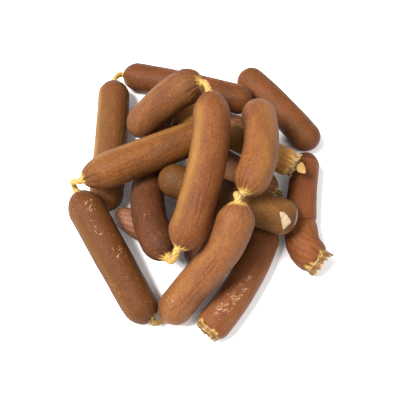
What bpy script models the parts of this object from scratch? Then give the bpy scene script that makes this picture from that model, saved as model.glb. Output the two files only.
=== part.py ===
"""A heap made by strings of cooked sausage links, as it lies on a table.

Eighteen links lie in four layers. Short twists of casing join the links whose joins show, three
links end in a torn cuff of casing and one carries a loose flap of it. Places and sizes are in
millimetres here, with X to the right, Y to the back and Z up from the table.
"""
import math

import bmesh
import bpy
from mathutils import Vector

MM = 0.001
DOWN = Vector((0.0, 0.0, -1.0))

# Driving dimensions.
NECK = 2.5            # radius of a link where its casing is gathered
TWIST = 2.0           # radius of a twisted neck of casing
CLEAR = 0.35          # gap between a link and the casing that goes on from its end
STRAIGHT = 3.2        # how far a twist goes straight out before it bends
SETTLE = 0.6          # skin that is this near to the table lies flat on it
CUFF = 4.0            # how far a torn cuff stands out from the meat
CUFF_WALL = 1.1       # thickness of the crumpled edge of a cuff
RIM = 0.76            # radius of a torn end, as a share of the link's
FLAP = 0.7            # thickness of a loose flap of casing

SIDES = 16            # corners of a link's cross section
CAP_RINGS = 6         # rings on each end
BODY_RINGS = 7        # rings between the ends
TWIST_POINTS = 9      # points along a twist's bend
PLEAT = 0.12          # depth of the pleats round a gathered neck
HOOK = 0.21           # how much of the way a hooked end takes
LUMP = 0.02           # how much a link's thickness varies along it
OVAL = 0.03           # how much a link sags: its height is this much less than its width

BROWN = (0.40, 0.19, 0.10)
DARK = (0.29, 0.14, 0.08)
GOLDEN = (0.45, 0.28, 0.12)
CASING = (0.78, 0.56, 0.22)

# Each link has its two tips a and b, its radius, and how far it bends: bow is its middle's
# distance to the left of the straight way from a to b, skew moves that bend towards b, lift
# raises the middle and hook is how far each of the two ends turns to the left. swell is how much
# thicker it is at b than at a. caps are the lengths of the rounded ends in radii, gather and torn
# name the ends with a gathered neck and a torn edge, and pinch is where a crease goes round it.
LINKS = {
    "link_left": dict(a=(-81.5, 125, 18), b=(-82.5, -4, 12), radius=14.8, bow=1, gather="a"),
    "link_back": dict(a=(-74, 139, 11), b=(48, 97, 25), radius=13.7, bow=2, gather="a"),
    "link_back_right": dict(a=(40, 139, 13), b=(104, 57, 13), radius=13.8, bow=3),
    "link_right": dict(
        a=(96, 49, 17), b=(88.5, -52, 13.5), radius=13.2, bow=-5.5, skew=-2, hook=(0, 12.5), swell=3.5,
        torn="b", pinch=0.64,
    ),
    "link_across": dict(
        a=(-93, 6, 53.5), b=(16, 53, 55), radius=14.7, swell=-1.4, caps=(1.7, 1.0), gather="a",
    ),
    "link_front_left": dict(
        a=(-101, 3, 36), b=(-40.5, -98, 11), radius=14.7, hook=(0, 3), swell=-1.0, caps=(1.25, 1.0),
        gather="ab",
    ),
    "link_front": dict(
        a=(-24, -97, 7.5), b=(27, -24, 82), radius=14.1, bow=-5.2, skew=-7.5, hook=(4, 0),
        gather="ab",
    ),
    "link_right_top": dict(
        a=(32, -12, 70), b=(48, 77, 50), radius=14.2, bow=-8, skew=2, lift=7, gather="a",
    ),
    "link_back_top": dict(
        a=(-60, 67, 26), b=(1, 79.5, 79), radius=14.8, bow=3, skew=3, lift=5, swell=1.0,
        gather="b",
    ),
    "link_top": dict(
        a=(7, 64, 88), b=(-11.5, -54.5, 67), radius=14.5, bow=6.5, skew=-3, hook=(0, -4), caps=(1.3, 1.0),
        gather="ab",
    ),
    "link_curved": dict(
        a=(-27, 75, 14.2), b=(-24, -54, 44), radius=14.2, bow=-18, skew=-3, gather="ab",
    ),
    "link_front_right": dict(
        a=(58, -18, 13), b=(4, -107, 13), radius=13.6, bow=5.5, torn="b",
    ),
    "link_golden": dict(
        a=(-33, 11.5, 50.5), b=(77, -23, 37), radius=14.4, swell=1.6, caps=(1.0, 0.8),
    ),
    "link_torn": dict(a=(-25, 87, 35), b=(81, 26, 37), radius=11.8, torn="b"),
    "link_under_right": dict(
        a=(-12, 62, 12), b=(67, 14, 12), radius=12.8, gather="b",
    ),
    "link_under_left": dict(
        a=(-71, -3, 11), b=(-15, -29, 10.5), radius=11.0, bow=-6.0, caps=(1.5, 1.0),
    ),
    "link_under_front": dict(a=(-3, -54, 11), b=(10, 29, 11), radius=12.2),
    "link_under_back": dict(a=(-60, 101, 11), b=(44, 76, 11), radius=12.3),
}

# Each twist goes from one link's tip to another's through the points between.
TWISTS = {
    "twist_left_back": ("link_back", "a", [(-79.8, 135.6, 14.3)], "link_left", "a"),
    "twist_across_front_left": (
        "link_across", "a", [(-100.5, 6.5, 49.5), (-103.3, 8, 43)], "link_front_left", "a",
    ),
    "twist_front_pair": (
        "link_front_left", "b", [], "link_front", "a",
    ),
    "twist_front_right_top": (
        "link_right_top", "a", [(27.3, -17.2, 73.5), (26.3, -17.5, 79.5)], "link_front", "b",
    ),
    "twist_back_top": ("link_back_top", "b", [], "link_top", "a"),
    "twist_top_curved": (
        "link_top", "b", [(-18, -58.8, 60), (-21, -59, 51)], "link_curved", "b",
    ),
}

# A stub is the free end of a twist: where it goes to from its link's tip.
STUBS = {
    "stub_curved": ("link_curved", "a", [(-24.6, 79.4, 18.4), (-23.6, 81.0, 21)]),
    "stub_under_right": ("link_under_right", "b", [(70, 9.5, 11.5), (68.5, 6.5, 10.5)]),
}


class Link:
    """The axis and the outline of one link."""

    def __init__(self, name, a, b, radius, bow=0.0, skew=0.0, lift=0.0, hook=(0.0, 0.0), swell=0.0,
                 caps=(1.0, 1.0), gather="", torn="", pinch=None):
        self.name = name
        self.a = Vector(a)
        self.b = Vector(b)
        self.radius = radius
        self.bend = (bow, skew, lift, hook)
        self.swell = swell
        self.caps = dict(a=caps[0], b=caps[1])
        self.gather = gather
        self.torn = torn
        self.pinch = pinch
        self.phase = 1.7 * list(LINKS).index(name)
        steps = [self.point(k / 40) for k in range(41)]
        self.length = sum((q - p).length for p, q in zip(steps, steps[1:]))

    def point(self, t):
        """The axis at the share t of its way from a to b."""
        bow, skew, lift, hook = self.bend
        way = self.b - self.a
        left = Vector((-way.y, way.x, 0.0)).normalized()
        hump = 4.0 * t * (1.0 - t)
        side = bow * hump + 1.3 * skew * hump * (2.0 * t - 1.0)
        side += hook[0] * (max(0.0, HOOK - t) / HOOK) ** 2
        side += hook[1] * (max(0.0, t - 1.0 + HOOK) / HOOK) ** 2
        return self.a + way * t + left * side - DOWN * lift * hump

    def heading(self, t):
        return (self.point(t + 0.01) - self.point(t - 0.01)).normalized()

    def outward(self, end):
        """The direction that leaves the link at one of its ends."""
        return self.heading(1.0) if end == "b" else -self.heading(0.0)

    def body_radius(self, t):
        """Radius along the link, never more than its nominal one."""
        full = self.radius + self.swell * (t - 0.5)
        wave = 0.5 + 0.3 * math.sin(7.0 * t + self.phase) + 0.2 * math.sin(13.0 * t - self.phase)
        if self.pinch:
            full -= 1.1 * math.exp(-((t - self.pinch) / 0.035) ** 2)
        return full * (1.0 - LUMP * wave)

    def end_rings(self, end):
        """Distances from the tip, radii and pleat depths of one end, from the tip inwards."""
        near = 0.0 if end == "a" else 1.0
        full = self.body_radius(near)
        reach = self.caps[end] * self.radius
        if end in self.torn:
            # The meat stands back from the torn edge, so the end is a shallow cup.
            rim = RIM * full
            rings = [(CUFF + 3.0, 0.0, 0.0), (CUFF + 2.6, rim - 2.4, 0.0)]
            rings += [(CUFF, rim - 1.2, 0.0), (CUFF + 0.3, rim, 0.5 * PLEAT)]
            for k in range(1, CAP_RINGS - 2):
                x = k / (CAP_RINGS - 3)
                rise = math.sin(0.5 * math.pi * x)
                rings.append((CUFF + 0.3 + 0.55 * reach * x * x, rim + (full - rim) * rise,
                              PLEAT * (1.0 - x)))
            return rings
        if end in self.gather:
            rings = [(0.0, 0.0, 0.0), (0.0, NECK, 0.0)]
            for k in range(1, CAP_RINGS):
                x = 1.0 - math.cos(0.5 * math.pi * k / (CAP_RINGS - 1))
                rise = (1.0 - (1.0 - x) ** 1.75) ** (1.0 / 1.75)
                rings.append((reach * x, NECK + (full - NECK) * rise, PLEAT * (1.0 - x)))
            return rings
        rings = [(0.0, 0.0, 0.0)]
        for k in range(1, CAP_RINGS + 1):
            angle = 0.5 * math.pi * k / CAP_RINGS
            rings.append((reach * (1.0 - math.cos(angle)), full * math.sin(angle), 0.0))
        return rings

    def rings(self):
        """All rings, from the middle of end a to the middle of end b."""
        first = self.end_rings("a")
        last = self.end_rings("b")
        start = first[-1][0]
        stop = self.length - last[-1][0]
        middle = []
        for k in range(1, BODY_RINGS + 1):
            s = start + (stop - start) * k / (BODY_RINGS + 1)
            middle.append((s, self.body_radius(s / self.length), 0.0))
        ending = [(self.length - s, r, pleat) for s, r, pleat in reversed(last)]
        return first + middle + ending

    def radius_at(self, s):
        """Radius of the outline at the distance s along the axis."""
        rings = self.rings()
        for (near, r, _), (far, after, _) in zip(rings, rings[1:]):
            if near <= s <= far and far > near:
                return r + (after - r) * (s - near) / (far - near)
        return rings[-1][1]

    def place(self, s, r, angle):
        """A point at the distance s along the axis and r from it, angle 0 being underneath."""
        t = s / self.length
        ahead = self.heading(t)
        low = (DOWN - ahead * DOWN.dot(ahead)).normalized()
        side = ahead.cross(low)
        return self.point(t) + (low * math.cos(angle) + side * math.sin(angle)) * r


def material(name, colour, roughness):
    made = bpy.data.materials.new(name)
    made.use_nodes = True
    shader = made.node_tree.nodes["Principled BSDF"]
    shader.inputs["Base Color"].default_value = (*colour, 1.0)
    shader.inputs["Roughness"].default_value = roughness
    shader.inputs["Metallic"].default_value = 0.0
    return made


def place_object(obj, collection, centre, colour, roughness):
    """Links an object whose mesh is round its own origin, and puts it where it lies."""
    collection.objects.link(obj)
    obj.location = centre * MM
    obj.data.materials.append(material(obj.name + "_skin", colour, roughness))
    return obj


def make_link(link, collection, colour):
    """A sphere drawn out along the link's axis, flat where it lies on the table."""
    rings = link.rings()
    centre = link.point(0.5)
    bm = bmesh.new()
    bmesh.ops.create_uvsphere(bm, u_segments=SIDES, v_segments=len(rings) - 1, radius=1.0)
    for vert in bm.verts:
        polar = math.acos(max(-1.0, min(1.0, -vert.co.z)))
        s, r, pleat = rings[round(polar / math.pi * (len(rings) - 1))]
        angle = math.atan2(vert.co.y, vert.co.x)
        corner = round(angle / (2.0 * math.pi) * SIDES)
        r *= 1.0 - OVAL * 0.5 * (1.0 + math.cos(2.0 * angle))
        if corner % 2:
            r *= 1.0 - pleat
        spot = link.place(s, r, angle)
        if spot.z < SETTLE:
            spot.z = 0.0
        vert.co = (spot - centre) * MM
    mesh = bpy.data.meshes.new(link.name)
    bm.to_mesh(mesh)
    bm.free()
    mesh.shade_smooth()
    return place_object(bpy.data.objects.new(link.name, mesh), collection, centre, colour, 0.5)


def smooth_route(points, count):
    """Straight to the second point, then a curve to the last but one, then straight again."""
    route = [points[0]]
    for k in range(count):
        at = k / (count - 1) * (len(points) - 3)
        i = min(int(at), len(points) - 4)
        u = at - i
        p, q, r, s = points[i:i + 4]
        route.append(0.5 * ((2 * q) + (r - p) * u + (2 * p - 5 * q + 4 * r - s) * u ** 2
                            + (3 * q - p - 3 * r + s) * u ** 3))
    route.append(points[-1])
    return route


def make_tube(name, points, widths, collection):
    """A twist of casing: a round tube along a smooth route, its thickness given at both ends."""
    route = smooth_route(points, TWIST_POINTS)
    centre = route[len(route) // 2]
    curve = bpy.data.curves.new(name, "CURVE")
    curve.dimensions = "3D"
    curve.bevel_depth = TWIST * MM
    curve.bevel_resolution = 2
    curve.use_fill_caps = True
    spline = curve.splines.new("POLY")
    spline.points.add(len(route) - 1)
    for k, (point, spot) in enumerate(zip(spline.points, route)):
        x = k / (len(route) - 1)
        point.co = (*((spot - centre) * MM), 1.0)
        fan = widths[0] * (1.0 - x) ** 6 + widths[1] * x ** 6
        point.radius = 1.0 + fan + 0.08 * math.sin(9.0 * x)
    spline.use_smooth = True
    obj = bpy.data.objects.new(name, curve)
    return place_object(obj, collection, centre, CASING, 0.45)


def make_cuff(link, end, ragged, collection):
    """The torn casing round an open end: a ring whose outer edge is ragged."""
    name = link.name.replace("link", "cuff")
    full = link.body_radius(1.0)
    ring = RIM * full - 0.5 * CUFF_WALL
    start = link.length - CUFF + CLEAR
    centre = link.place(start, 0.0, 0.0)
    bpy.ops.mesh.primitive_torus_add(
        major_segments=24, minor_segments=6, major_radius=1.0, minor_radius=0.25,
    )
    obj = bpy.context.object
    obj.name = name
    obj.data.name = name
    for vert in obj.data.vertices:
        angle = math.atan2(vert.co.y, vert.co.x)
        across = (math.hypot(vert.co.x, vert.co.y) - 1.0) / 0.25
        along = vert.co.z / 0.25
        tear = 0.5 + 0.5 * math.sin(5.0 * angle + link.phase) * math.cos(2.0 * angle)
        tall = CUFF * (1.0 - ragged * tear)
        crumple = 0.35 * math.sin(7.0 * angle) * 0.5 * (along + 1.0)
        s = start + tall * 0.5 * (along + 1.0)
        spot = link.place(s, ring + crumple + 0.5 * CUFF_WALL * across, angle)
        spot.z = max(spot.z, 0.0)
        vert.co = (spot - centre) * MM
    bm = bmesh.new()
    bm.from_mesh(obj.data)
    bmesh.ops.recalc_face_normals(bm, faces=bm.faces)
    bm.to_mesh(obj.data)
    bm.free()
    obj.data.shade_smooth()
    for holder in list(obj.users_collection):
        holder.objects.unlink(obj)
    return place_object(obj, collection, centre, CASING, 0.5)


def make_flap(name, spot_at, wide, long, collection):
    """A leaf of loose casing: a flat grid laid on the surface that spot_at describes."""
    bm = bmesh.new()
    bmesh.ops.create_grid(bm, x_segments=6, y_segments=6, size=1.0)
    spots = [spot_at(0.5 * wide * v.co.x, 0.5 * long * v.co.y, v.co.x, v.co.y) for v in bm.verts]
    centre = sum(spots, Vector()) / len(spots)
    for vert, spot in zip(bm.verts, spots):
        vert.co = (spot - centre) * MM
    mesh = bpy.data.meshes.new(name)
    bm.to_mesh(mesh)
    bm.free()
    mesh.shade_smooth()
    obj = bpy.data.objects.new(name, mesh)
    place_object(obj, collection, centre, CASING, 0.5)
    skin = obj.modifiers.new("thickness", "SOLIDIFY")
    skin.thickness = FLAP * MM
    skin.offset = -1.0
    return obj


def golden_flap(link):
    """The pale flap that has come loose on the top of the golden link, near its end."""
    def spot_at(x, y, u, v):
        s = link.length - 12.0 + x + v
        angle = math.radians(210.0) + y / link.radius
        return link.place(s, link.radius_at(s) + 0.6 + 0.5 * max(0.0, u), angle)
    return spot_at


def torn_curl(link):
    """The tongue of casing that curls up from the torn link's edge."""
    root = link.place(link.length + 1.0, 7.6, math.radians(225.0))
    def spot_at(x, y, u, v):
        bend = 0.9 * (v + 1.0)
        ahead = Vector((0.95, 0.1, 0.0)) * (6.4 * math.sin(bend))
        rise = Vector((0.0, 0.0, 4.0 * (1.0 - math.cos(bend))))
        return root + ahead + rise + Vector((-0.2, 0.97, -0.1)) * x * (1.0 - 0.3 * v * v)
    return spot_at


def centre_on_origin(solids, collection):
    """Moves the heap so that the origin lies under the middle of its outline."""
    bpy.context.view_layer.update()
    spots = [obj.matrix_world @ vert.co for obj in solids for vert in obj.data.vertices]
    middle = Vector((
        0.5 * (min(p.x for p in spots) + max(p.x for p in spots)),
        0.5 * (min(p.y for p in spots) + max(p.y for p in spots)),
        0.0,
    ))
    for obj in collection.objects:
        obj.location -= middle


def build():
    for obj in list(bpy.data.objects):
        bpy.data.objects.remove(obj)
    collection = bpy.data.collections.new("sausage_links")
    bpy.context.scene.collection.children.link(collection)

    links = {name: Link(name, **facts) for name, facts in LINKS.items()}
    for name, link in links.items():
        colour = BROWN
        if name in ("link_golden", "link_torn"):
            colour = GOLDEN
        elif "under" in name:
            colour = DARK
        make_link(link, collection, colour)

    def leave(name, end):
        """Two points that go straight out from a link's tip."""
        link = links[name]
        tip = link.point(0.0 if end == "a" else 1.0)
        away = link.outward(end)
        return [tip + away * CLEAR, tip + away * STRAIGHT]

    for name, (one, end, between, other, other_end) in TWISTS.items():
        points = leave(one, end) + [Vector(p) for p in between] + leave(other, other_end)[::-1]
        widths = (0.2, 0.9) if name == "twist_top_curved" else (0.25, 0.25)
        make_tube(name, points, widths, collection)
    for name, (one, end, beyond) in STUBS.items():
        make_tube(name, leave(one, end) + [Vector(p) for p in beyond], (0.2, -0.2), collection)

    make_cuff(links["link_right"], "b", 0.5, collection)
    make_cuff(links["link_front_right"], "b", 0.35, collection)
    make_cuff(links["link_torn"], "b", 0.45, collection)
    make_flap("flap_golden", golden_flap(links["link_golden"]), 12.0, 15.0, collection)
    make_flap("curl_torn", torn_curl(links["link_torn"]), 11.5, 8.0, collection)
    centre_on_origin([obj for obj in collection.objects if obj.type == "MESH"], collection)


build()
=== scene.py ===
import math

import bpy
import numpy as np
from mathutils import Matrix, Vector, noise


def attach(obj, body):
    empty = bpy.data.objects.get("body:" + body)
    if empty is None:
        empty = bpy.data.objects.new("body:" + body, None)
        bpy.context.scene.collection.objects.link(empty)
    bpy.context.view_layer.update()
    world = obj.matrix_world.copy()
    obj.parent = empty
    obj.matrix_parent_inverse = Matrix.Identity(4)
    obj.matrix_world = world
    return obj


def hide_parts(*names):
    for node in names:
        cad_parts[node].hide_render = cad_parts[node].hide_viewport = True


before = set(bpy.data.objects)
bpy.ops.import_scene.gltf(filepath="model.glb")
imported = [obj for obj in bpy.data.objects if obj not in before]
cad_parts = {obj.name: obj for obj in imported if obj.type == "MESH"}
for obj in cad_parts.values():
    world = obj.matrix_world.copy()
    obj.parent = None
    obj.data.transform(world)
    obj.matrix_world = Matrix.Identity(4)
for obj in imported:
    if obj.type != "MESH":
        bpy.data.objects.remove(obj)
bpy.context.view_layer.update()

MM = 0.001
DOWN = Vector((0.0, 0.0, -1.0))

# The heap as in the part's source, in millimetres. SHIFT puts the middle of its outline over
# the origin.
SHIFT = Vector((-1.50, -17.53, 0.0))
NECK = 2.5            # radius of a link where its casing is gathered
TWIST = 2.0           # radius of a twisted neck of casing
STRAIGHT = 3.2        # how far a twist goes straight out before it bends
CUFF = 4.0            # how far a torn cuff stands out from the meat
RIM = 0.76            # radius of a torn end, as a share of the link's
HOOK = 0.21           # how much of the way a hooked end takes
LUMP = 0.02           # how much a link's thickness varies along it
PINCH = 1.1           # how much thinner a link is at its crease
PINCH_LONG = 0.035    # how much of the way the crease takes
OVAL = 0.03           # how much less its height is than its width
SETTLE = 0.35         # skin that is this near to the table lies flat on it
THINNEST = 0.15       # no ring of skin is thinner than this
PLEATS = 13           # folds round a gathered or a torn end
THIN_PLEATS = 31      # finer folds on a gathered end
LONG_FOLD = 13.0      # how far the folds run from a neck
SHORT_FOLD = 9.0
LONG_FOLDED = ("link_back_top", "link_right_top", "link_across")
STRANDS = 4           # lobes round a twist
TURN_LENGTH = 8.75    # length of a twist in which they wind round it once
LEAF_THICK = 0.35     # thickness of a loose leaf of casing
SIDES = 104      # corners of a link's cross section
STEP = 0.8      # distance between its rings
CAP_RINGS = 26   # rings on each end
AXIS_STEPS = 40                   # steps by which a link's axis is measured
TWIST_SIDES = 40
TWIST_STEPS = 44
CUFF_SIDES = 180
CUFF_ROWS = 14
LEAF_CELLS = 26

# The flap on the golden link: how far its middle is from the end, its half length and half
# width, its distance from the skin, its angle from underneath and its torn corners.
FLAP_AWAY = 12.0
FLAP_LONG = 6.0
FLAP_WIDE = 7.5
FLAP_GAP = 0.8
FLAP_ANGLE = math.radians(210.0)
FLAP_CORNERS = ((-0.95, -0.75), (-0.10, -0.70), (0.95, -0.10), (0.15, 0.95))

# The curl on the torn end: the ways it heads and lies across, its half width, and the length,
# height and half angle of its bend.
CURL_AHEAD = Vector((0.95, 0.1, 0.0))
CURL_SIDE = Vector((-0.2, 0.97, -0.1))
CURL_WIDE = 5.6
CURL_LONG = 6.4
CURL_RISE = 4.0
CURL_BEND = 0.9

# The camera, which looks at a point above the middle of the heap.
ELEVATION = math.radians(68.0)
DISTANCE = 0.400
AIM_HEIGHT = 0.020
LENS = 42.3

# Each link by the tips a and b of its axis. bow and skew bend it sideways, lift bends it upwards
# and hook turns its two ends. swell is how much thicker it is at b than at a, caps is how long
# its ends are drawn out, gather and torn name the ends with a neck or an open rim, and pinch is
# where a crease runs round it.
LINKS = {
    "link_left": dict(a=(-81.5, 125, 18), b=(-82.5, -4, 12), radius=14.8, bow=1, gather="a"),
    "link_back": dict(a=(-74, 139, 11), b=(48, 97, 25), radius=13.7, bow=2, gather="a"),
    "link_back_right": dict(a=(40, 139, 13), b=(104, 57, 13), radius=13.8, bow=3),
    "link_right": dict(
        a=(96, 49, 17), b=(88.5, -52, 13.5), radius=13.2, bow=-5.5, skew=-2, hook=(0, 12.5), swell=3.5,
        torn="b", pinch=0.64,
    ),
    "link_across": dict(
        a=(-93, 6, 53.5), b=(16, 53, 55), radius=14.7, swell=-1.4, caps=(1.7, 1.0), gather="a",
    ),
    "link_front_left": dict(
        a=(-101, 3, 36), b=(-40.5, -98, 11), radius=14.7, hook=(0, 3), swell=-1.0, caps=(1.25, 1.0),
        gather="ab",
    ),
    "link_front": dict(
        a=(-24, -97, 7.5), b=(27, -24, 82), radius=14.1, bow=-5.2, skew=-7.5, hook=(4, 0),
        gather="ab",
    ),
    "link_right_top": dict(
        a=(32, -12, 70), b=(48, 77, 50), radius=14.2, bow=-8, skew=2, lift=7, gather="a",
    ),
    "link_back_top": dict(
        a=(-60, 67, 26), b=(1, 79.5, 79), radius=14.8, bow=3, skew=3, lift=5, swell=1.0,
        gather="b",
    ),
    "link_top": dict(
        a=(7, 64, 88), b=(-11.5, -54.5, 67), radius=14.5, bow=6.5, skew=-3, hook=(0, -4), caps=(1.3, 1.0),
        gather="ab",
    ),
    "link_curved": dict(
        a=(-27, 75, 14.2), b=(-24, -54, 44), radius=14.2, bow=-18, skew=-3, gather="ab",
    ),
    "link_front_right": dict(
        a=(58, -18, 13), b=(4, -107, 13), radius=13.6, bow=5.5, torn="b",
    ),
    "link_golden": dict(
        a=(-33, 11.5, 50.5), b=(77, -23, 37), radius=14.4, swell=1.6, caps=(1.0, 0.8),
    ),
    "link_torn": dict(a=(-25, 87, 35), b=(81, 26, 37), radius=11.8, torn="b"),
    "link_under_right": dict(a=(-12, 62, 12), b=(67, 14, 12), radius=12.8, gather="b"),
    "link_under_left": dict(
        a=(-71, -3, 11), b=(-15, -29, 10.5), radius=11.0, bow=-6.0, caps=(1.5, 1.0),
    ),
    "link_under_front": dict(a=(-3, -54, 11), b=(10, 29, 11), radius=12.2),
    "link_under_back": dict(a=(-60, 101, 11), b=(44, 76, 11), radius=12.3),
}

# Twists from one link's tip to another's, by way of the points between.
TWISTS = {
    "twist_left_back": ("link_back", "a", [(-79.8, 135.6, 14.3)], "link_left", "a"),
    "twist_across_front_left": (
        "link_across", "a", [(-100.5, 6.5, 49.5), (-103.3, 8, 43)], "link_front_left", "a",
    ),
    "twist_front_pair": ("link_front_left", "b", [], "link_front", "a"),
    "twist_front_right_top": (
        "link_right_top", "a", [(27.3, -17.2, 73.5), (26.3, -17.5, 79.5)], "link_front", "b",
    ),
    "twist_back_top": ("link_back_top", "b", [], "link_top", "a"),
    "twist_top_curved": (
        "link_top", "b", [(-18, -58.8, 60), (-21, -59, 51)], "link_curved", "b",
    ),
}

# Free ends of twists: the tip that each leaves, and the points beyond it.
STUBS = {
    "stub_curved": ("link_curved", "a", [(-24.6, 79.4, 18.4), (-23.6, 81.0, 21)]),
    "stub_under_right": ("link_under_right", "b", [(70, 9.5, 11.5), (68.5, 6.5, 10.5)]),
}

# How each skin looks: its two colours, how much of the second shows, and its tone.
TAN = (0.215, 0.078, 0.0225)
RED = (0.158, 0.050, 0.0175)
BROWN = (0.118, 0.042, 0.0135)
OLIVE = (0.112, 0.049, 0.0125)
GOLD = (0.158, 0.072, 0.0175)
PINK = (0.235, 0.098, 0.052)
# The tone scales both colours. It is partly the link's own colour and partly painted light and shade: a
# link lighter or darker for how much light reaches it.
SKINS = {
    "link_left": (BROWN, OLIVE, 0.45, (0.74, 0.63, 0.49)),
    "link_back": (BROWN, TAN, 0.25, (0.53, 0.41, 0.30)),
    "link_back_right": (RED, BROWN, 0.45, (0.63, 0.57, 0.42)),
    "link_right": (RED, TAN, 0.45, (0.70, 0.60, 0.51)),
    "link_across": (TAN, BROWN, 0.35, (0.54, 0.48, 0.32)),
    "link_front_left": (BROWN, OLIVE, 0.5, (0.58, 0.44, 0.30)),
    "link_front": (TAN, RED, 0.25, (0.69, 0.70, 0.76)),
    "link_right_top": (TAN, RED, 0.45, (0.71, 0.70, 0.65)),
    "link_back_top": (TAN, RED, 0.5, (0.52, 0.54, 0.51)),
    "link_top": (TAN, RED, 0.45, (0.52, 0.45, 0.34)),
    "link_curved": (RED, BROWN, 0.5, (0.35, 0.30, 0.30)),
    "link_front_right": (RED, TAN, 0.45, (0.67, 0.62, 0.60)),
    "link_golden": (GOLD, OLIVE, 0.25, (0.62, 0.53, 0.40)),
    "link_torn": (OLIVE, GOLD, 0.6, (2.20, 2.20, 2.20)),
    "link_under_left": (PINK, RED, 0.45, (0.75, 0.78, 0.85)),
    "link_under_back": (RED, PINK, 0.4, (0.8, 0.8, 0.8)),
    "link_under_right": (TAN, RED, 0.4, (0.98, 1.16, 1.75)),
    "link_under_front": (RED, BROWN, 0.5, (0.40, 0.36, 0.36)),
}

# Wrinkles: (share of the way from a to b, angle from underneath in degrees, length along the
# link, width across it, depth), in millimetres. A negative depth is a raised fold.
WRINKLES = {
    "link_front": [(0.42, 200, 50, 1.3, 0.45), (0.60, 188, 30, 1.0, 0.35), (0.3, 218, 34, 1.2, 0.3),
                   (0.5, 172, 40, 0.9, 0.2)],
    "link_across": [(0.45, 214, 66, 0.8, 0.28), (0.34, 226, 50, 0.7, 0.25),
                    (0.6, 204, 40, 0.7, 0.18), (0.5, 172, 60, 0.9, 0.12)],
    "link_front_left": [(0.45, 226, 70, 0.9, 0.3), (0.62, 238, 50, 0.8, 0.25),
                        (0.35, 196, 60, 1.0, 0.15)],
    "link_back": [(0.35, 205, 50, 1.0, 0.2), (0.6, 190, 44, 1.0, 0.2)],
    "link_top": [(0.74, 168, 22, 0.8, 0.45), (0.8, 152, 16, 0.7, 0.35), (0.78, 190, 18, 0.7, 0.3),
                 (0.3, 196, 34, 1.0, 0.15)],
    "link_back_top": [(0.66, 170, 34, 1.3, 0.5), (0.78, 150, 26, 1.1, 0.45),
                      (0.74, 195, 24, 1.0, 0.35)],
    "link_left": [(0.6, 165, 50, 0.9, 0.2), (0.85, 195, 22, 1.0, 0.35), (0.88, 165, 20, 0.9, 0.3)],
    "link_right_top": [(0.4, 200, 40, 0.8, 0.15)],
    "link_front_right": [(0.7, 165, 30, 0.8, 0.25), (0.6, 200, 34, 0.8, 0.2)],
}

# Patches of pale crumbs: (share of the way, angle in degrees, half length, half width).
CRUMBS = {
    "link_front_left": [(0.15, 158, 6, 4), (0.32, 175, 4, 3), (0.51, 154, 6, 4)],
    "link_front_right": [(0.62, 168, 16, 4), (0.76, 188, 10, 4)],
    "link_front": [(0.22, 165, 7, 4)],
}

# Painted highlights: yellower strips along the side that the light falls on: (angle, width, strength).
HIGHLIGHT_STRIPS = {
    "link_top": (225, 4.5, 0.30), "link_left": (236, 4.5, 0.26), "link_across": (146, 3.0, 0.20),
    "link_front_left": (228, 3.0, 0.07), "link_right_top": (205, 6.0, 0.14),
    "link_front": (160, 4.0, 0.07),
}

# How far the folds of a torn end run up the link.
TORN_FOLDS = {"link_right": 4.5, "link_front_right": 3.5, "link_torn": 8.0}

# What else colours the skin.
GRIT = (0.30, 0.125, 0.040)
STREAK = (0.34, 0.145, 0.040)
PIT = (0.030, 0.010, 0.004)
SPECK = (0.40, 0.22, 0.085)
# painted shade, for folds, creases, cracks and the insides of torn ends
SHADE = (0.028, 0.009, 0.0035)
# bare casing at the necks and torn edges, and painted highlights along the lit side
BARE_CASING_AND_HIGHLIGHT = (0.36, 0.215, 0.050)
CRUMB = (0.34, 0.24, 0.13)
DOT_CORE = 0.06       # a dot is full up to here and gone at its edge, in cells
DOT_EDGE = 0.13
SKIN_SHEEN = {
    "Roughness": 0.54, "Specular IOR Level": 0.11, "Subsurface Weight": 0.05,
    "Subsurface Radius": (1.0, 0.4, 0.15), "Subsurface Scale": 0.0012,
}

# Dried casing: its light and its deep colour and the size of its mottle.
CASINGS = {
    "gold": ((0.37, 0.225, 0.052), (0.27, 0.135, 0.022), 0.9),
    "pale": ((0.38, 0.25, 0.085), (0.27, 0.145, 0.035), 1.1),
    "buff": ((0.31, 0.195, 0.075), (0.20, 0.11, 0.034), 1.0),
    "rust": ((0.14, 0.063, 0.013), (0.08, 0.032, 0.008), 0.9),
    "white": ((0.33, 0.265, 0.18), (0.27, 0.185, 0.10), 0.7),
    "tan": ((0.165, 0.085, 0.018), (0.10, 0.043, 0.010), 0.9),
}
CASING_STRAND = (0.40, 0.29, 0.12)
# painted shade in the casing's folds and hollows
CASING_PAINTED_SHADE = (0.07, 0.026, 0.006)
CASING_SHEEN = {
    "Roughness": 0.50, "Specular IOR Level": 0.22, "Subsurface Weight": 0.15,
    "Subsurface Radius": (1.0, 0.6, 0.2), "Subsurface Scale": 0.001,
}

# Twists that aren't golden, and how much wider one gets at its two ends.
TWIST_LOOKS = {
    "twist_front_pair": "tan", "twist_front_right_top": "pale", "stub_curved": "pale",
    "stub_under_right": "tan",
}
TWIST_FANS = {"twist_top_curved": (0.7, 1.2)}


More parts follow.
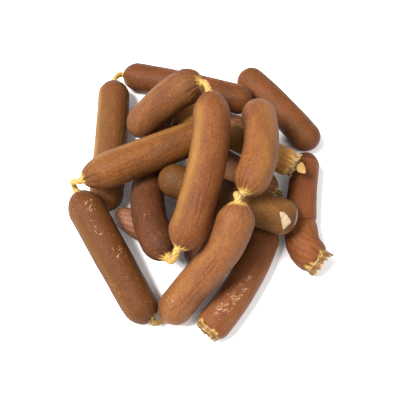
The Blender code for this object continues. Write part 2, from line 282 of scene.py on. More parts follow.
class Link:
    """The axis and the outline of one link."""

    def __init__(self, name, a, b, radius, bow=0.0, skew=0.0, lift=0.0, hook=(0.0, 0.0), swell=0.0,
                 caps=(1.0, 1.0), gather="", torn="", pinch=None):
        self.name = name
        self.a = Vector(a)
        self.b = Vector(b)
        self.radius = radius
        self.bend = (bow, skew, lift, hook)
        self.swell = swell
        self.caps = dict(a=caps[0], b=caps[1])
        self.gather = gather
        self.torn = torn
        self.pinch = pinch
        self.phase = 1.7 * list(LINKS).index(name)
        steps = [self.point(k / AXIS_STEPS) for k in range(AXIS_STEPS + 1)]
        self.length = sum((q - p).length for p, q in zip(steps, steps[1:]))

    def point(self, t):
        bow, skew, lift, hook = self.bend
        way = self.b - self.a
        left = Vector((-way.y, way.x, 0.0)).normalized()
        hump = 4.0 * t * (1.0 - t)
        side = bow * hump + 1.3 * skew * hump * (2.0 * t - 1.0)
        side += hook[0] * (max(0.0, HOOK - t) / HOOK) ** 2
        side += hook[1] * (max(0.0, t - 1.0 + HOOK) / HOOK) ** 2
        return self.a + way * t + left * side - DOWN * lift * hump

    def heading(self, t):
        return (self.point(t + 0.01) - self.point(t - 0.01)).normalized()

    def outward(self, end):
        return self.heading(1.0) if end == "b" else -self.heading(0.0)

    def body_radius(self, t):
        t = min(1.0, max(0.0, t))
        full = self.radius + self.swell * (t - 0.5)
        wave = 0.5 + 0.3 * math.sin(7.0 * t + self.phase) + 0.2 * math.sin(13.0 * t - self.phase)
        if self.pinch:
            full -= PINCH * math.exp(-((t - self.pinch) / PINCH_LONG) ** 2)
        return full * (1.0 - LUMP * wave)

    def end_rings(self, end):
        """Distances from the tip and radii of one end, from the tip inwards."""
        full = self.body_radius(0.0 if end == "a" else 1.0)
        reach = self.caps[end] * self.radius
        rings = []

        def at(s):
            t = s / self.length
            return self.body_radius(t if end == "a" else 1.0 - t)

        if end in self.torn:
            rim = RIM * full
            rings = [(CUFF + 3.0, 0.0), (CUFF + 2.9, 0.5 * rim), (CUFF + 2.6, rim - 2.4)]
            rings += [(CUFF + 1.0, rim - 1.5), (CUFF, rim - 1.0), (CUFF + 0.1, rim - 0.3)]
            for k in range(CAP_RINGS + 1):
                x = k / CAP_RINGS
                s = CUFF + 0.3 + 0.55 * reach * x * x
                rings.append((s, rim + (at(s) - rim) * math.sin(0.5 * math.pi * x)))
            return rings
        if end in self.gather:
            rings = [(0.0, 0.0), (0.0, 0.6 * NECK), (0.0, NECK)]
            for k in range(1, CAP_RINGS + 1):
                x = min(1.0, 1.0 - math.cos(0.5 * math.pi * k / CAP_RINGS))
                rise = (1.0 - (1.0 - x) ** 1.75) ** (1.0 / 1.75)
                rings.append((reach * x, NECK + (at(reach * x) - NECK) * rise))
            return rings
        for k in range(CAP_RINGS + 1):
            angle = 0.5 * math.pi * k / CAP_RINGS
            s = reach * (1.0 - math.cos(angle))
            rings.append((s, at(s) * math.sin(angle)))
        return rings

    def rings(self):
        first = self.end_rings("a")
        last = self.end_rings("b")
        start, stop = first[-1][0], self.length - last[-1][0]
        count = max(2, int((stop - start) / STEP))
        middle = []
        for k in range(1, count):
            s = start + (stop - start) * k / count
            middle.append((s, self.body_radius(s / self.length)))
        return first + middle + [(self.length - s, r) for s, r in reversed(last)]

    def radius_at(self, s):
        rings = self.rings()
        for (near, r), (far, after) in zip(rings, rings[1:]):
            if near <= s <= far and far > near:
                return r + (after - r) * (s - near) / (far - near)
        return rings[-1][1]

    def axes(self, s):
        """The axis point at s, the way it heads, the way down and the way to the side."""
        t = s / self.length
        ahead = self.heading(t)
        low = (DOWN - ahead * DOWN.dot(ahead)).normalized()
        return self.point(t), ahead, low, ahead.cross(low)

    def place(self, s, r, angle):
        point, ahead, low, side = self.axes(s)
        return point + (low * math.cos(angle) + side * math.sin(angle)) * r


links = {name: Link(name, **facts) for name, facts in LINKS.items()}


def smooth(low, high, x):
    x = np.clip((x - low) / (high - low), 0.0, 1.0)
    return x * x * (3.0 - 2.0 * x)


def field(points, size, seed):
    """Smooth noise from -1 to 1 at points, an (n, 3) array."""
    off = Vector((seed * 13.7, seed * 5.1, seed * 7.9))
    return np.array([noise.noise(Vector(p) / size + off) for p in points])


def pleats(angles, count, seed):
    """Folds round a gathered neck: 0 on the ridges and 1 in the sharp valleys."""
    bent = angles * count + 1.3 * np.sin(angles * 2.0 + seed) + 0.9 * np.sin(angles * 5.0 - seed)
    deep = np.minimum(1.0, np.abs(np.cos(0.5 * bent)))
    vary = 0.65 + 0.35 * np.sin(angles * 3.0 + 2.0 * seed)
    return (1.0 - deep) ** 1.6 * vary


def around(sides):
    """The angles of a section's corners."""
    return np.arange(sides) * (2.0 * math.pi / sides)


def to_scene(points):
    """Points of the heap in millimetres, moved to the scene's frame in metres."""
    return (points + np.array(SHIFT)) * MM


def add_object(name, points, faces, marks, material, node):
    """A smooth mesh object that takes its node's place. marks are its point attributes."""
    mesh = bpy.data.meshes.new(name)
    mesh.from_pydata([tuple(p) for p in points], [], faces)
    mesh.shade_smooth()
    for key, values in marks.items():
        values = np.asarray(values, dtype=np.float32)
        if values.ndim == 2:
            made = mesh.attributes.new(key, "FLOAT_VECTOR", "POINT")
            made.data.foreach_set("vector", values.ravel())
        else:
            made = mesh.attributes.new(key, "FLOAT", "POINT")
            made.data.foreach_set("value", values)
    mesh.materials.append(material)
    obj = bpy.data.objects.new(name, mesh)
    bpy.context.scene.collection.objects.link(obj)
    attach(obj, "root")
    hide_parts(node)


def shell_faces(rows, sides):
    """Quads between rows of points, a fan at each end. The first and last rows are one point."""
    faces = []
    for i in range(1, rows - 2):
        base = 1 + (i - 1) * sides
        for k in range(sides):
            m = (k + 1) % sides
            faces.append((base + k, base + m, base + sides + m, base + sides + k))
    last = 1 + (rows - 3) * sides
    for k in range(sides):
        m = (k + 1) % sides
        faces.append((0, 1 + m, 1 + k))
        faces.append((last + sides, last + k, last + m))
    return faces


# The skins of the links.

class Skin:
    """The skin of one link, ring by ring: its radius, the changes to it and its marks."""

    def __init__(self, link):
        rings = np.array(link.rings())
        self.link = link
        self.seed = 1.0 + link.phase
        self.steps = rings[:, 0]
        self.sides = SIDES // 2 if "under" in link.name else SIDES
        self.turns = around(self.sides)
        self.along = np.repeat(self.steps[1:-1, None], self.sides, 1)
        self.angle = np.repeat(self.turns[None], len(rings) - 2, 0)
        radius = np.repeat(rings[1:-1, 1, None], self.sides, 1)
        self.radius = radius * (1.0 - OVAL * 0.5 * (1.0 + np.cos(2.0 * self.angle)))
        self.grain = np.stack([self.radius * np.cos(self.angle),
                               self.radius * np.sin(self.angle), self.along], -1).reshape(-1, 3)
        self.lumps = self.noise(16.0, 0.0)
        flutes = self.noise(5.0, 3.0, 0.16)
        creases = self.noise(1.8, 5.0, 0.35)
        body = smooth(0.0, 6.0, np.minimum(self.along, link.length - self.along))
        self.change = (0.24 * self.lumps + 0.06 * flutes + 0.05 * creases) * body
        # Marks: gold for bare casing and painted highlights, painted shade, and pale for crumbs and pale
        # lines.
        self.gold = np.zeros_like(self.along)
        self.painted_shade = np.zeros_like(self.along)
        self.pale = np.zeros_like(self.along)

    def noise(self, size, shift, squeeze=1.0):
        """Smooth noise on the skin. A squeeze under 1 draws it out along the link."""
        points = self.grain * np.array([1.0, 1.0, squeeze])
        return field(points, size, self.seed + shift).reshape(self.angle.shape)

    def away(self, end):
        """How far each point is from one end's tip, along the axis."""
        return self.along if end == "a" else self.link.length - self.along

    def across(self, degrees, width, sway=0.0):
        """How far each point is from a line along the link, round the skin, in widths."""
        turn = math.radians(degrees) + sway
        return np.angle(np.exp(1j * (self.angle - turn))) * self.radius / width

    # Painted shade: keeps the darker of the old and the new.
    def paint_shade(self, shade):
        self.painted_shade = np.maximum(self.painted_shade, shade)

    def gather(self, end):
        """Folds that run into a gathered neck, with painted shade in them, golden where the casing is
        bare.
        """
        far = LONG_FOLD if self.link.name in LONG_FOLDED else SHORT_FOLD
        folds = pleats(self.angle, PLEATS, self.seed + (0.0 if end == "a" else 2.0))
        thin = pleats(self.angle, THIN_PLEATS, self.seed + 4.0)
        near = np.hypot(self.away(end), np.maximum(0.0, self.radius - NECK))
        fade = np.exp(-(near / far) ** 1.8)
        self.change -= folds * fade * np.minimum(1.7, 0.28 * (self.radius - 0.6 * NECK))
        self.change -= thin * np.exp(-near / 6.0) * np.minimum(0.6, 0.12 * self.radius)
        strand = (1.0 - folds) ** 2 * (1.0 - 0.8 * thin)
        strand = strand * (0.7 + 0.3 * np.sin(self.angle * 2.0 + self.seed))
        reach = 2.2 + 5.5 * strand
        self.gold = np.maximum(self.gold, 1.0 - smooth(0.5 * reach, reach, near))
        self.paint_shade(1.3 * folds * fade)
        self.paint_shade(0.7 * thin * np.exp(-near / 5.0))
        self.gold *= 1.0 - 0.75 * np.minimum(1.0, self.painted_shade * smooth(1.5, 4.0, near))
        self.painted_shade = np.minimum(1.0, self.painted_shade)

    def tear(self, end):
        """Folds beside a torn end with painted shade in them, bare casing along its edge and painted
        shade inside the open end.
        """
        away = self.away(end)
        far = TORN_FOLDS[self.link.name]
        folds = pleats(self.angle, PLEATS, self.seed + 1.0)
        fade = np.exp(-np.maximum(away - CUFF, 0.0) / far)
        self.change -= 1.1 * folds * fade
        vary = 0.5 + 0.5 * np.sin(self.angle * 5.0 + self.seed)
        edge = 0.4 + 0.8 * far * (1.0 - folds) ** 3 * vary
        self.gold = np.maximum(self.gold, 1.0 - smooth(0.3, 1.0, (away - CUFF) / edge))
        self.paint_shade(0.9 * folds * fade)
        # Painted shade inside the open end.
        inside = (self.radius < RIM * self.link.body_radius(1.0) - 0.2) & (away > CUFF - 1.0)
        self.painted_shade = np.where(inside, 0.75, self.painted_shade)

    def wrinkle(self, share, degrees, long, wide, deep):
        """One wrinkle, with painted shade in its groove, or, where deep is negative, one raised fold."""
        along = (self.along - share * self.link.length) / (0.5 * long)
        sway = 0.05 * np.sin(self.along / 13.0 + self.seed + degrees)
        across = self.across(degrees, wide, sway)
        dent = deep * np.exp(-across ** 2) * np.exp(-along ** 4)
        self.change -= dent
        self.paint_shade(0.35 * dent / max(0.3, abs(deep)) * (np.abs(across) < 0.7))

    def crumble(self, patches):
        """Patches of pale crumbs that stand a little off the skin."""
        grit = smooth(0.12, 0.34, self.noise(0.9, 7.0)) * smooth(-0.05, 0.25, self.noise(2.6, 8.0))
        for share, degrees, long, wide in patches:
            along = (self.along - share * self.link.length) / long
            where = np.exp(-self.across(degrees, wide) ** 2 - along ** 2)
            self.pale = np.maximum(self.pale, 0.8 * smooth(0.15, 0.5, where) * grit)
        self.change += 0.30 * self.pale

    def strip(self, degrees, wide, strong):
        """A painted highlight: a yellower strip along the lit side of the link, fading out towards its
        ends.
        """
        fade = smooth(4.0, 20.0, self.away("a")) * smooth(4.0, 20.0, self.away("b"))
        glow = strong * np.exp(-self.across(degrees, wide) ** 2) * (0.75 + 0.5 * self.lumps)
        self.gold = np.maximum(self.gold, glow * fade)

    def points(self):
        """A tip, the corners of each ring and the other tip."""
        radius = np.maximum(self.radius + self.change, THINNEST)
        rows = []
        for s, reach in zip(self.steps[1:-1], radius):
            point, ahead, low, side = (np.array(v) for v in self.link.axes(s))
            rows.append(point + reach[:, None] * (
                np.cos(self.turns)[:, None] * low + np.sin(self.turns)[:, None] * side
            ))
        first, last = (np.array(self.link.axes(s)[0])[None] for s in self.steps[[0, -1]])
        points = np.vstack([first, *rows, last])
        points[:, 2] = np.where(points[:, 2] < SETTLE, 0.0, points[:, 2])
        return to_scene(points)

    def marks(self):
        """The marks of the same points. A tip has the mean of the ring beside it."""
        ends = [[0.0, 0.0, s] for s in self.steps[[0, -1]]]
        marks = {"grain": np.vstack([ends[0], self.grain, ends[1]])}
        for name, values in (("gold", self.gold), ("painted_shade", self.painted_shade), ("pale", self.pale)):
            tips = [values[0].mean()], [values[-1].mean()]
            marks[name] = np.concatenate([tips[0], values.ravel(), tips[1]])
        return marks


def golden_end(skin):
    """Painted shade over the half away from the end, and over the end a thin white line with a crack
    beside it, the crack drawn in painted shade.
    """
    away, angle = skin.away("b"), skin.angle
    # Painted shade over the half towards a.
    skin.paint_shade(0.45 * (1.0 - smooth(0.45, 0.72, skin.along / skin.link.length)))
    line = np.exp(-((away - 2.6 - 0.5 * np.sin(angle * 3.0)) / 0.45) ** 2)
    line = line * smooth(1.5, 1.9, angle) * (1.0 - smooth(3.7, 4.1, angle))
    skin.pale = np.maximum(skin.pale, line)
    skin.change += 0.25 * line
    # The crack is painted shade.
    crack = np.exp(-((away - 4.4 - 0.8 * np.sin(angle * 4.0)) / 0.4) ** 2)
    skin.paint_shade(crack * smooth(2.7, 3.0, angle) * (1.0 - smooth(3.6, 3.9, angle)))


def squeezed_bend(skin):
    """Fine ribs where the skin is squeezed on the inside of the bend."""
    where = np.exp(-((skin.along - 0.62 * skin.link.length) / 26.0) ** 2)
    facing = 0.5 + 0.5 * np.cos(skin.angle - math.radians(215.0))
    wave = np.sin(skin.along * 1.9 + 0.9 * np.sin(skin.angle * 2.0) + 1.3 * skin.lumps)
    skin.change -= 0.20 * where * facing * (0.5 - 0.5 * wave)


def creased_end(skin):
    """A crease round the link, and long wrinkles from there to its torn end, both with painted shade in
    them.
    """
    middle = skin.link.pinch * skin.link.length
    bent = skin.along - middle - 1.2 * np.sin(skin.angle * 2.0 + 1.0)
    crease = np.exp(-(bent / 0.8) ** 2)
    skin.change -= 0.45 * crease
    skin.paint_shade(0.6 * crease)
    low = smooth(0.55, 0.8, skin.along / skin.link.length)
    wave = np.abs(np.sin(skin.angle * 8.0 + 0.30 * skin.along + 3.0 * skin.lumps))
    skin.change -= 0.45 * low * wave ** 3
    skin.paint_shade(0.35 * low * wave ** 8)


def shrivelled(skin):
    """Deep wrinkles all along, with painted shade in them."""
    wave = np.abs(np.sin(skin.angle * 6.0 + 0.2 * skin.along + 2.5 * skin.lumps))
    skin.change -= 0.7 * wave ** 4
    skin.paint_shade(0.5 * wave ** 8)


OWN_FORMS = {
    "link_golden": golden_end, "link_right_top": squeezed_bend, "link_right": creased_end,
    "link_under_left": shrivelled,
}


def build_link(link, material):
    skin = Skin(link)
    for end in "ab":
        if end in link.gather:
            skin.gather(end)
        if end in link.torn:
            skin.tear(end)
    for wrinkle in WRINKLES.get(link.name, []):
        skin.wrinkle(*wrinkle)
    if link.name in CRUMBS:
        skin.crumble(CRUMBS[link.name])
    if link.name in HIGHLIGHT_STRIPS:
        skin.strip(*HIGHLIGHT_STRIPS[link.name])
    if link.name in OWN_FORMS:
        OWN_FORMS[link.name](skin)
    add_object(link.name + "_skin", skin.points(), shell_faces(len(skin.steps), skin.sides),
               skin.marks(), material, link.name)


# Materials.

class Look:
    """A material under construction."""

    def __init__(self, name):
        self.material = bpy.data.materials.new(name)
        self.material.use_nodes = True
        self.nodes = self.material.node_tree.nodes
        self.wires = self.material.node_tree.links
        self.shader = self.nodes["Principled BSDF"]

    def feed(self, socket, value):
        """Gives an input another node's output, a colour or a number."""
        if hasattr(value, "is_linked"):
            self.wires.new(value, socket)
        elif isinstance(value, tuple):
            socket.default_value = (*value, 1.0)
        else:
            socket.default_value = value

    def mix(self, share, one, two):
        node = self.nodes.new("ShaderNodeMix")
        node.data_type = "RGBA"
        for key, value in ((0, share), (6, one), (7, two)):
            self.feed(node.inputs[key], value)
        return node.outputs[2]

    def maths(self, operation, one, two):
        node = self.nodes.new("ShaderNodeMath")
        node.operation = operation
        self.feed(node.inputs[0], one)
        self.feed(node.inputs[1], two)
        return node.outputs[0]

    def tint(self, colour, share, strength, other):
        """The colour, with another one over it as far as share times strength."""
        return self.mix(self.maths("MULTIPLY", share, strength), colour, other)

    def ramp(self, source, low, high, start=0.0, stop=1.0):
        node = self.nodes.new("ShaderNodeMapRange")
        node.interpolation_type = "SMOOTHSTEP"
        node.inputs["From Min"].default_value = low
        node.inputs["From Max"].default_value = high
        node.inputs["To Min"].default_value = start
        node.inputs["To Max"].default_value = stop
        self.wires.new(source, node.inputs["Value"])
        return node.outputs["Result"]

    def placed(self, squeeze, shift):
        """The skin's own coordinates, which follow the bend. squeeze is along the link."""
        source = self.nodes.new("ShaderNodeAttribute")
        source.attribute_name = "grain"
        mapping = self.nodes.new("ShaderNodeMapping")
        mapping.inputs["Scale"].default_value = (1.0, 1.0, squeeze)
        mapping.inputs["Location"].default_value = (shift * 3.1, shift * 1.7, shift * 2.3)
        self.wires.new(source.outputs["Vector"], mapping.inputs["Vector"])
        return mapping.outputs["Vector"]

    def noise(self, vector, scale, detail=3.0, rough=0.55):
        node = self.nodes.new("ShaderNodeTexNoise")
        node.inputs["Scale"].default_value = scale
        node.inputs["Detail"].default_value = detail
        node.inputs["Roughness"].default_value = rough
        self.wires.new(vector, node.inputs["Vector"])
        return node.outputs["Fac"]

    def dots(self, vector, scale, rare):
        """Small dots: 1 in the middle of some cells, 0 elsewhere."""
        node = self.nodes.new("ShaderNodeTexVoronoi")
        node.inputs["Scale"].default_value = scale
        self.wires.new(vector, node.inputs["Vector"])
        dot = self.ramp(node.outputs["Distance"], DOT_CORE, DOT_EDGE, 1.0, 0.0)
        split = self.nodes.new("ShaderNodeSeparateColor")
        self.wires.new(node.outputs["Color"], split.inputs["Color"])
        keep = self.ramp(split.outputs["Red"], rare, rare + 0.05)
        return self.maths("MULTIPLY", dot, keep)

    def mark(self, name):
        node = self.nodes.new("ShaderNodeAttribute")
        node.attribute_name = name
        return node.outputs["Fac"]

    def finish(self, colour, height, strength, depth, sheen):
        """Wires the colour and a bump, sets the shader's other inputs, gives the material."""
        self.wires.new(colour, self.shader.inputs["Base Color"])
        for key, value in sheen.items():
            self.shader.inputs[key].default_value = value
        bump = self.nodes.new("ShaderNodeBump")
        bump.inputs["Strength"].default_value = strength
        bump.inputs["Distance"].default_value = depth
        self.wires.new(height, bump.inputs["Height"])
        self.wires.new(bump.outputs["Normal"], self.shader.inputs["Normal"])
        return self.material


def skin_material(name, first, second, share, shift):
    """Skin in two colours, mottled, streaked along the link, with pits and specks of fat, painted shade
    and painted highlights.
    """
    look = Look(name)
    plain = look.placed(1.0, shift)
    broad = look.noise(look.placed(0.5, shift), 0.07, 2.0)
    streak = look.noise(look.placed(0.16, shift), 0.5, 4.0, 0.6)
    mottle = look.noise(plain, 0.45, 6.0, 0.68)
    grit = look.noise(plain, 1.7, 3.0, 0.6)
    pits = look.dots(plain, 0.17, 0.55)
    specks = look.dots(plain, 0.24, 0.62)
    middle = 0.5 + 0.3 * (0.5 - share)
    colour = look.mix(look.ramp(broad, middle - 0.16, middle + 0.16), first, second)
    shaded = tuple(0.58 * c for c in second)
    colour = look.tint(colour, look.ramp(mottle, 0.40, 0.66), 0.50, shaded)
    colour = look.tint(colour, look.ramp(grit, 0.50, 0.72), 0.30, GRIT)
    colour = look.tint(colour, look.ramp(streak, 0.55, 0.78), 0.16, STREAK)
    colour = look.tint(colour, pits, 0.80, PIT)
    colour = look.tint(colour, specks, 0.75, SPECK)
    # Painted shade, then bare casing and painted highlights from the gold mark.
    colour = look.tint(colour, look.mark("painted_shade"), 0.80, SHADE)
    colour = look.mix(look.mark("gold"), colour, BARE_CASING_AND_HIGHLIGHT)
    colour = look.mix(look.mark("pale"), colour, CRUMB)
    height = look.maths("ADD", look.maths("MULTIPLY", streak, 0.28), mottle)
    height = look.maths("SUBTRACT", height, look.maths("MULTIPLY", pits, 0.5))
    height = look.maths("ADD", height, look.maths("MULTIPLY", specks, 0.4))
    return look.finish(colour, height, 0.8, 0.0008, SKIN_SHEEN)


def casing_material(name, light, deep, scale):
    """Dried casing, with pale strands that follow its twist and painted shade in its folds."""
    look = Look(name)
    mottle = look.noise(look.placed(1.0, 4.0), scale)
    colour = look.tint(light, look.ramp(mottle, 0.35, 0.65), 0.6, deep)
    colour = look.mix(look.mark("pale"), colour, CASING_STRAND)
    # Painted shade in the folds and hollows.
    colour = look.tint(colour, look.mark("painted_shade"), 0.85, CASING_PAINTED_SHADE)
    return look.finish(colour, mottle, 0.4, 0.0004, CASING_SHEEN)


# Twists of casing.

def smooth_route(points, count):
    """Straight to the second point, then a curve to the last but one, then straight again."""
    route = [points[0].lerp(points[1], k / 5) for k in range(5)]
    for k in range(count):
        at = k / (count - 1) * (len(points) - 3)
        i = min(int(at), len(points) - 4)
        u = at - i
        p, q, r, s = points[i:i + 4]
        route.append(0.5 * ((2 * q) + (r - p) * u + (2 * p - 5 * q + 4 * r - s) * u ** 2
                            + (3 * q - p - 3 * r + s) * u ** 3))
    return route + [points[-2].lerp(points[-1], k / 5) for k in range(1, 6)]


def build_twist(name, points, widths, material):
    """A rope of casing along a route: its section has lobes that wind round it."""
    route = smooth_route(points, TWIST_STEPS)
    angles = around(TWIST_SIDES)
    seed = len(name) * 0.7
    rows, shades, pales, grains = [], [], [], []
    side = (route[1] - route[0]).orthogonal().normalized()
    travelled = 0.0
    total = sum((q - p).length for p, q in zip(route, route[1:]))
    for k, spot in enumerate(route):
        before, after = route[max(0, k - 1)], route[min(len(route) - 1, k + 1)]
        ahead = (after - before).normalized()
        side = (side - ahead * side.dot(ahead)).normalized()
        up = ahead.cross(side)
        if k:
            travelled += (spot - route[k - 1]).length
        x = travelled / total
        fan = widths[0] * (1.0 - x) ** 6 + widths[1] * x ** 6
        thick = TWIST * (1.05 + fan + 0.10 * math.sin(9.0 * x + seed))
        turned = angles - 2.0 * math.pi * travelled / TURN_LENGTH
        lobes = np.abs(np.cos(0.5 * STRANDS * turned + 0.4 * math.sin(7.0 * x)))
        threads = np.abs(np.cos(1.5 * STRANDS * turned + seed))
        r = thick * (0.74 + 0.28 * lobes + 0.08 * threads)
        rows.append(np.array(spot) + r[:, None] * (
            np.cos(angles)[:, None] * np.array(side) + np.sin(angles)[:, None] * np.array(up)
        ))
        # Painted shade between the lobes and threads, and at the two tips.
        shades.append((1.0 - lobes) ** 3 * 0.9 + (1.0 - threads) ** 4 * 0.3)
        pales.append(0.75 * threads ** 4 * lobes ** 2)
        grains.append(np.stack([r * np.cos(turned), r * np.sin(turned),
                                np.full(TWIST_SIDES, travelled * 0.4)], -1))
    points = np.vstack([np.array(route[0])[None], *rows, np.array(route[-1])[None]])
    points[:, 2] = np.maximum(points[:, 2], 0.0)
    marks = {"grain": np.vstack([[0.0, 0.0, 0.0], *grains, [0.0, 0.0, total]]),
             "painted_shade": np.concatenate([[0.3], *shades, [0.3]]),
             "pale": np.concatenate([[0.3], *pales, [0.3]])}
    add_object(name + "_rope", to_scene(points), shell_faces(len(rows) + 2, TWIST_SIDES), marks,
               material, name)


def leave(name, end):
    """Points that go straight out from a link's tip, from just inside it."""
    link = links[name]
    tip = link.point(0.0 if end == "a" else 1.0)
    away = link.outward(end)
    return [tip - away * 0.6, tip + away * STRAIGHT]


# Torn ends and loose casing.

def build_cuff(link, material, ragged, flare, crown, ruffle):
    """The torn casing round an open end: a crumpled collar with a ragged, pale edge, and painted shade in
    its folds, hollows and inner wall.
    """
    name = link.name.replace("link", "cuff")
    angles = around(CUFF_SIDES)
    seed = link.phase
    start = link.length - CUFF - 0.6
    folds = pleats(angles, PLEATS, seed + 1.0)
    tear = (0.5 + 0.5 * np.sin(5.0 * angles + seed) * np.cos(2.0 * angles)
            + 0.22 * np.sin(17.0 * angles + 2.0 * seed) + 0.14 * np.sin(31.0 * angles))
    tall = 0.6 + CUFF * (1.0 - ragged * np.clip(tear, 0.0, 1.0)) + crown(angles)
    tall = np.clip(tall, 1.4, CUFF + 2.0)
    rows, shades, pales, grains = [], [], [], []
    for j in range(2 * CUFF_ROWS):
        outer = j < CUFF_ROWS
        x = (j if outer else 2 * CUFF_ROWS - 1 - j) / (CUFF_ROWS - 1)
        wall = 0.30 * (1.0 - 0.6 * x) + 0.06
        wave = np.sin(9.0 * angles + 3.0 * x + seed) + 0.6 * np.sin(21.0 * angles + 5.0 * x)
        ridge = math.exp(-((x - 0.16) / 0.07) ** 2)
        r = RIM * link.body_radius(1.0) + flare * x * x + ruffle * x * 0.6 * wave
        r = r - 0.5 * folds * (1.0 - 0.4 * x) + 0.45 * ridge * (1.0 - folds)
        r = r + (wall if outer else -wall)
        s = start + tall * x
        rows += [np.array(link.place(*spot)) for spot in zip(s, r, angles)]
        lip = smooth(0.82, 0.98, x + 0.04 * np.sin(13.0 * angles))
        crest = np.clip(wave, 0.0, 1.0) ** 3 * ruffle
        edge = np.clip(0.9 * ridge * (1.0 - folds) + 0.7 * lip + 0.5 * crest * x, 0.0, 1.0)
        pales.append(edge * (1.0 if outer else 0.6))
        # Painted shade in the folds, on the inner wall and in the hollows of the ruffle.
        inside = 0.0 if outer else 0.8 * (1.0 - x)
        hollow = 0.5 * np.clip(-wave, 0.0, 1.0) ** 2
        shades.append(np.clip(0.8 * folds + inside + hollow, 0.0, 1.0))
        grains.append(np.stack([r * np.cos(angles), r * np.sin(angles), s], -1))
    points = np.array(rows)
    points[:, 2] = np.maximum(points[:, 2], 0.0)
    faces = []
    for j in range(2 * CUFF_ROWS):
        n = (j + 1) % (2 * CUFF_ROWS)
        for k in range(CUFF_SIDES):
            m = (k + 1) % CUFF_SIDES
            faces.append(tuple(row * CUFF_SIDES + corner
                               for row, corner in ((j, k), (j, m), (n, m), (n, k))))
    marks = {"grain": np.vstack(grains), "painted_shade": np.concatenate(shades),
             "pale": np.concatenate(pales)}
    add_object(name + "_edge", to_scene(points), faces, marks, material, name)


def right_tongue(angles):
    """A taller tongue of casing on the right hand side of an open end."""
    return 2.2 * np.exp(-((angles - 1.7) / 0.6) ** 2) + 1.2 * np.exp(-((angles - 3.0) / 0.3) ** 2)


def build_leaf(name, spot_at, normal_at, outline, material):
    """A loose leaf of casing on a grid, cut to a ragged outline, with a thin wall."""
    top, low, shades, grains = [], [], [], []
    for i in range(LEAF_CELLS + 1):
        for j in range(LEAF_CELLS + 1):
            u, v = 2.0 * i / LEAF_CELLS - 1.0, 2.0 * j / LEAF_CELLS - 1.0
            # From the square grid to a disc, and from there to the outline.
            reach = max(abs(u), abs(v)) / max(math.hypot(u, v), 1e-6) * outline(math.atan2(v, u))
            u, v = u * reach, v * reach
            spot = spot_at(u, v)
            normal = normal_at(u, v)
            crumple = 0.28 * noise.noise(Vector((u * 2.6, v * 2.6, 3.3)))
            crumple += 0.16 * noise.noise(Vector((u * 6.0, v * 6.0, 1.3)))
            top.append(np.array(spot + normal * (crumple + 0.5 * LEAF_THICK)))
            low.append(np.array(spot + normal * (crumple - 0.5 * LEAF_THICK)))
            # Painted shade where the crumple is small.
            shades.append(max(0.0, 0.35 - 1.6 * abs(crumple)))
            grains.append((u * 6.0, v * 6.0, 0.0))
    n = LEAF_CELLS + 1
    faces = []
    for i in range(LEAF_CELLS):
        for j in range(LEAF_CELLS):
            quad = (i * n + j, (i + 1) * n + j, (i + 1) * n + j + 1, i * n + j + 1)
            faces.append(quad)
            faces.append(tuple(k + n * n for k in reversed(quad)))
    border = list(range(LEAF_CELLS)) + [i * n + LEAF_CELLS for i in range(LEAF_CELLS)]
    border += [n * n - 1 - j for j in range(LEAF_CELLS)]
    border += [(LEAF_CELLS - i) * n for i in range(LEAF_CELLS)]
    for a, b in zip(border, border[1:] + border[:1]):
        faces.append((a, b, b + n * n, a + n * n))
    marks = {"grain": np.array(grains + grains), "painted_shade": np.array(shades + shades),
             "pale": np.zeros(2 * len(shades))}
    add_object(name + "_leaf", to_scene(np.array(top + low)), faces, marks, material, name)


def flap_spot(u, v):
    link = links["link_golden"]
    s = link.length - FLAP_AWAY + FLAP_LONG * u + v
    lifted = FLAP_GAP + 0.5 * max(0.0, u)
    return link.place(s, link.radius_at(s) + lifted, FLAP_ANGLE + FLAP_WIDE * v / link.radius)


def flap_normal(u, v):
    link = links["link_golden"]
    point, ahead, low, side = link.axes(link.length - FLAP_AWAY + FLAP_LONG * u + v)
    angle = FLAP_ANGLE + FLAP_WIDE * v / link.radius
    return low * math.cos(angle) + side * math.sin(angle)


def kite(angle):
    """How far the flap's torn edge is from its middle in one direction."""
    ahead = Vector((math.cos(angle), math.sin(angle)))
    reach = 1.0
    for k, corner in enumerate(FLAP_CORNERS):
        one, two = Vector(corner), Vector(FLAP_CORNERS[(k + 1) % 4])
        across = Vector((two.y - one.y, one.x - two.x))
        if across.dot(ahead) * across.dot(one) > 0.0:
            reach = min(reach, across.dot(one) / across.dot(ahead))
    return reach + 0.03 * math.sin(9.0 * angle)


def curl_spot(u, v):
    torn = links["link_torn"]
    root = torn.place(torn.length + 1.0, 7.6, math.radians(225.0))
    bend = CURL_BEND * (v + 1.0)
    ahead = CURL_AHEAD * (CURL_LONG * math.sin(bend))
    rise = Vector((0.0, 0.0, CURL_RISE * (1.0 - math.cos(bend))))
    return root + ahead + rise + CURL_SIDE * CURL_WIDE * u * (1.0 - 0.3 * v * v)


def curl_normal(u, v):
    bend = CURL_BEND * (v + 1.0)
    return Vector((-math.sin(bend), 0.0, math.cos(bend)))


def curl_outline(angle):
    return 0.95 + 0.05 * math.sin(5.0 * angle)


# The heap.

casings = {name: casing_material("casing_" + name, *facts) for name, facts in CASINGS.items()}

for k, (name, link) in enumerate(links.items()):
    first, second, share, tone = SKINS[name]
    first = tuple(a * b for a, b in zip(first, tone))
    second = tuple(a * b for a, b in zip(second, tone))
    build_link(link, skin_material(name + "_look", first, second, share, 1.0 + k))

for name, (one, end, between, other, other_end) in TWISTS.items():
    route = leave(one, end) + [Vector(p) for p in between] + leave(other, other_end)[::-1]
    build_twist(name, route, TWIST_FANS.get(name, (0.7, 0.7)), casings[TWIST_LOOKS.get(name, "gold")])
for name, (one, end, beyond) in STUBS.items():
    route = leave(one, end) + [Vector(p) for p in beyond]
    build_twist(name, route, (0.3, -0.3), casings[TWIST_LOOKS[name]])

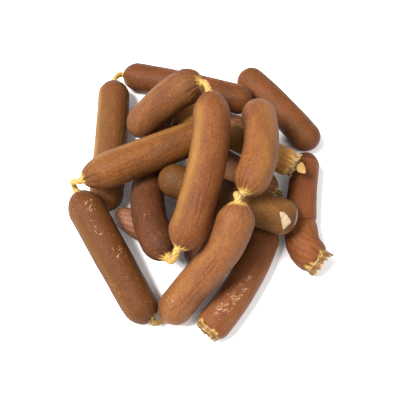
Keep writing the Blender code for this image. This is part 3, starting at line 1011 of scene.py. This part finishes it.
build_cuff(links["link_right"], casings["rust"], 0.5, 1.0, right_tongue, 0.45)
build_cuff(links["link_front_right"], casings["tan"], 0.25, -0.5, np.zeros_like, 0.25)
build_cuff(links["link_torn"], casings["buff"], 0.45, 1.2, np.zeros_like, 1.1)
build_leaf("flap_golden", flap_spot, flap_normal, kite, casings["white"])
build_leaf("curl_torn", curl_spot, curl_normal, curl_outline, casings["pale"])


# Table, light and camera.

bpy.ops.mesh.primitive_plane_add(size=6.0, location=(0.0, 0.0, -0.0002))
floor = bpy.context.object
floor.name = "floor"
white_table = Look("floor_white")
white_table.shader.inputs["Base Color"].default_value = (0.93, 0.93, 0.93, 1.0)
white_table.shader.inputs["Roughness"].default_value = 0.9
floor.data.materials.append(white_table.material)


def area_light(name, where, size, power, colour):
    data = bpy.data.lights.new(name, "AREA")
    data.shape = "DISK"
    data.size = size
    data.energy = power
    data.color = colour
    lamp = bpy.data.objects.new(name, data)
    lamp.location = where
    lamp.rotation_euler = (-Vector(where)).to_track_quat("-Z", "Y").to_euler()
    bpy.context.scene.collection.objects.link(lamp)


area_light("key", (-0.46, -0.06, 0.88), 0.4, 29.0, (1.0, 0.985, 0.96))
area_light("fill", (0.6, -0.5, 1.0), 1.0, 8.0, (1.0, 0.99, 0.97))

world = bpy.data.worlds.new("studio")
world.use_nodes = True
world.node_tree.nodes["Background"].inputs["Color"].default_value = (1.0, 1.0, 1.0, 1.0)
world.node_tree.nodes["Background"].inputs["Strength"].default_value = 0.62
bpy.context.scene.world = world
bpy.context.scene.view_settings.view_transform = "Standard"

aim = Vector((0.0, 0.0, AIM_HEIGHT)) + SHIFT * MM
camera_data = bpy.data.cameras.new("camera")
camera_data.lens = LENS
camera_data.sensor_width = 36.0
camera_data.shift_y = 0.0075
camera_data.clip_start = 0.01
camera = bpy.data.objects.new("camera", camera_data)
back = Vector((0.0, -math.cos(ELEVATION), math.sin(ELEVATION)))
camera.location = aim + back * DISTANCE
camera.rotation_euler = back.to_track_quat("Z", "Y").to_euler()
bpy.context.scene.collection.objects.link(camera)
bpy.context.scene.camera = camera
